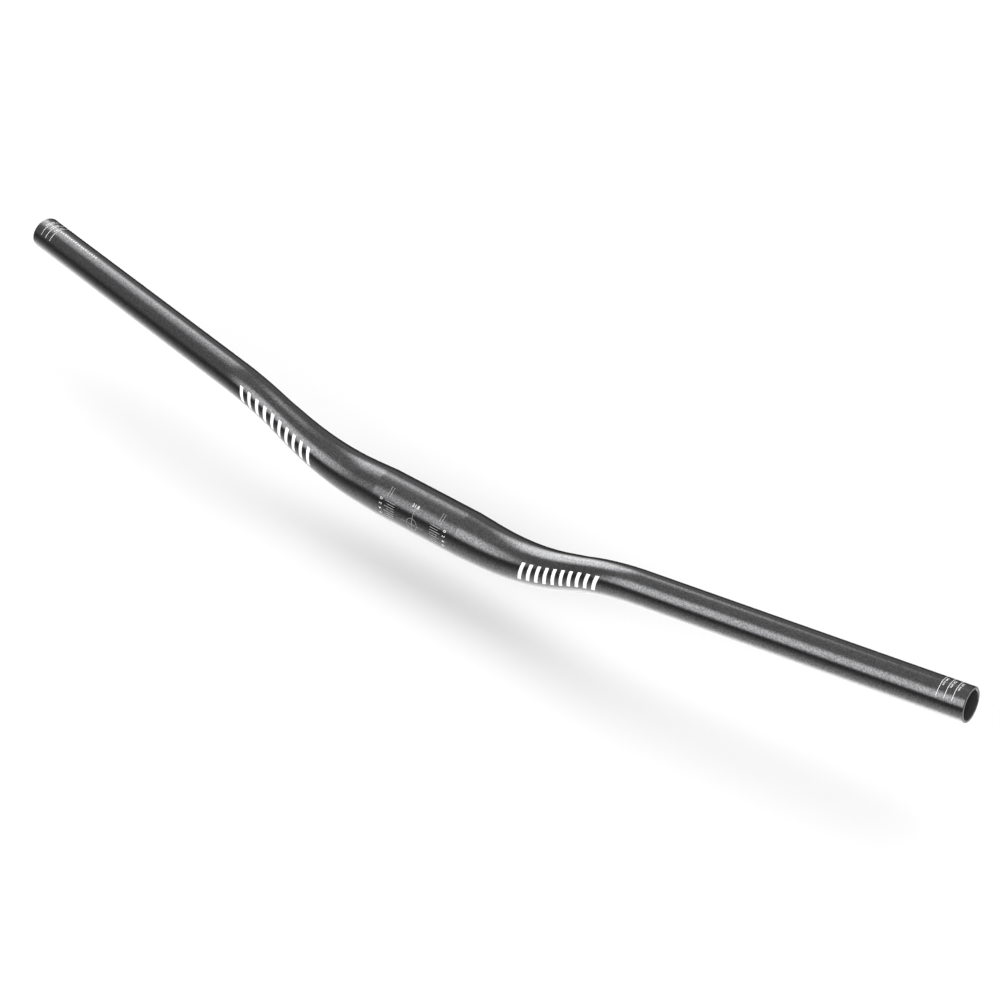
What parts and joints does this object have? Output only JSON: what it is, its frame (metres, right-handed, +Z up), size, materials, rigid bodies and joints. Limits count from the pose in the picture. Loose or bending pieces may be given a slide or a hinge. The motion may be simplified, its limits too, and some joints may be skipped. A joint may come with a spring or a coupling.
{
  "type": "riser handlebar",
  "caption": "Mountain-bike riser handlebar: a black anodised butted aluminium tube with a thick clamp area, tapered rise bends, backswept grips and open ends.",
  "frame": {"origin": "centre of the stem clamp area, on its axis", "axes": "+X along the clamp axis to the rider's left, +Y towards the rider, +Z up, with the bar in its riding position"},
  "size_m": [0.783, 0.0592, 0.063],
  "materials": {
    "anodised_tube": "fine blasted black anodising, satin"
  },
  "bodies": {
    "root": {"handlebar": "anodised_tube"}
  },
  "joints": []
}
